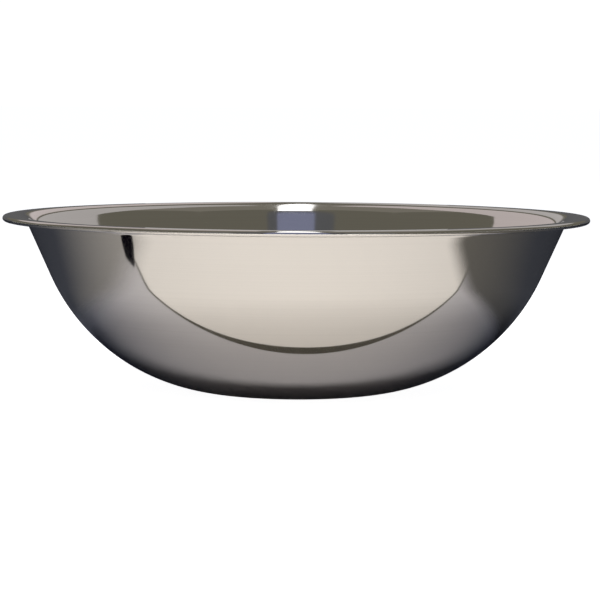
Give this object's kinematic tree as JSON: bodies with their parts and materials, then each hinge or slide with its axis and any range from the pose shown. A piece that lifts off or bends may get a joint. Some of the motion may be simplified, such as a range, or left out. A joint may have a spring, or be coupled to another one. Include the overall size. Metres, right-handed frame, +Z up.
{
  "type": "mixing bowl",
  "caption": "Wide shallow mixing bowl of polished stainless sheet: flat foot, large rounded knuckle, straight flared wall, flat turned-out rim with a curled edge.",
  "frame": {"origin": "centre of the flat foot's underside, on the bowl's axis", "axes": "+Z up along the bowl's axis and out of its mouth; X and Y are any two level directions, because the bowl is round"},
  "size_m": [0.476, 0.4758, 0.144],
  "materials": {
    "stainless": "mirror-polished stainless steel, not plated"
  },
  "bodies": {
    "root": {"bowl": "stainless"}
  },
  "joints": []
}
